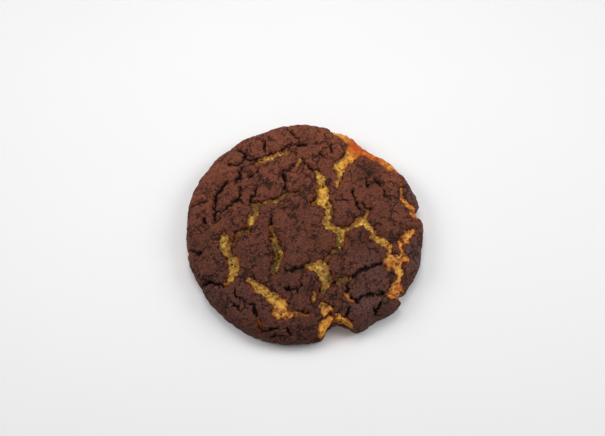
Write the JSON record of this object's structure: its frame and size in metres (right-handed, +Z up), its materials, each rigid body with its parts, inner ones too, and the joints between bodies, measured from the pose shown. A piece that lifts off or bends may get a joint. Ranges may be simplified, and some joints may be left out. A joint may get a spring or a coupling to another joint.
{
  "type": "chocolate cookie",
  "caption": "Large round chocolate cookie with a domed, cracked crust that shows a yellow dough filling in its cracks and torn rim.",
  "frame": {"origin": "middle of the flat base, on the surface that the cookie lies on", "axes": "+Z up through the crust, +X to the right and +Y to the back as the picture shows the cookie"},
  "size_m": [0.0995, 0.1002, 0.0117],
  "materials": {
    "chocolate_dough": "dry, matt baked crust",
    "yellow_dough": "matt, slightly moist crumb"
  },
  "bodies": {
    "root": {"chocolate_shell": "chocolate_dough", "yellow_filling": "yellow_dough"}
  },
  "joints": []
}
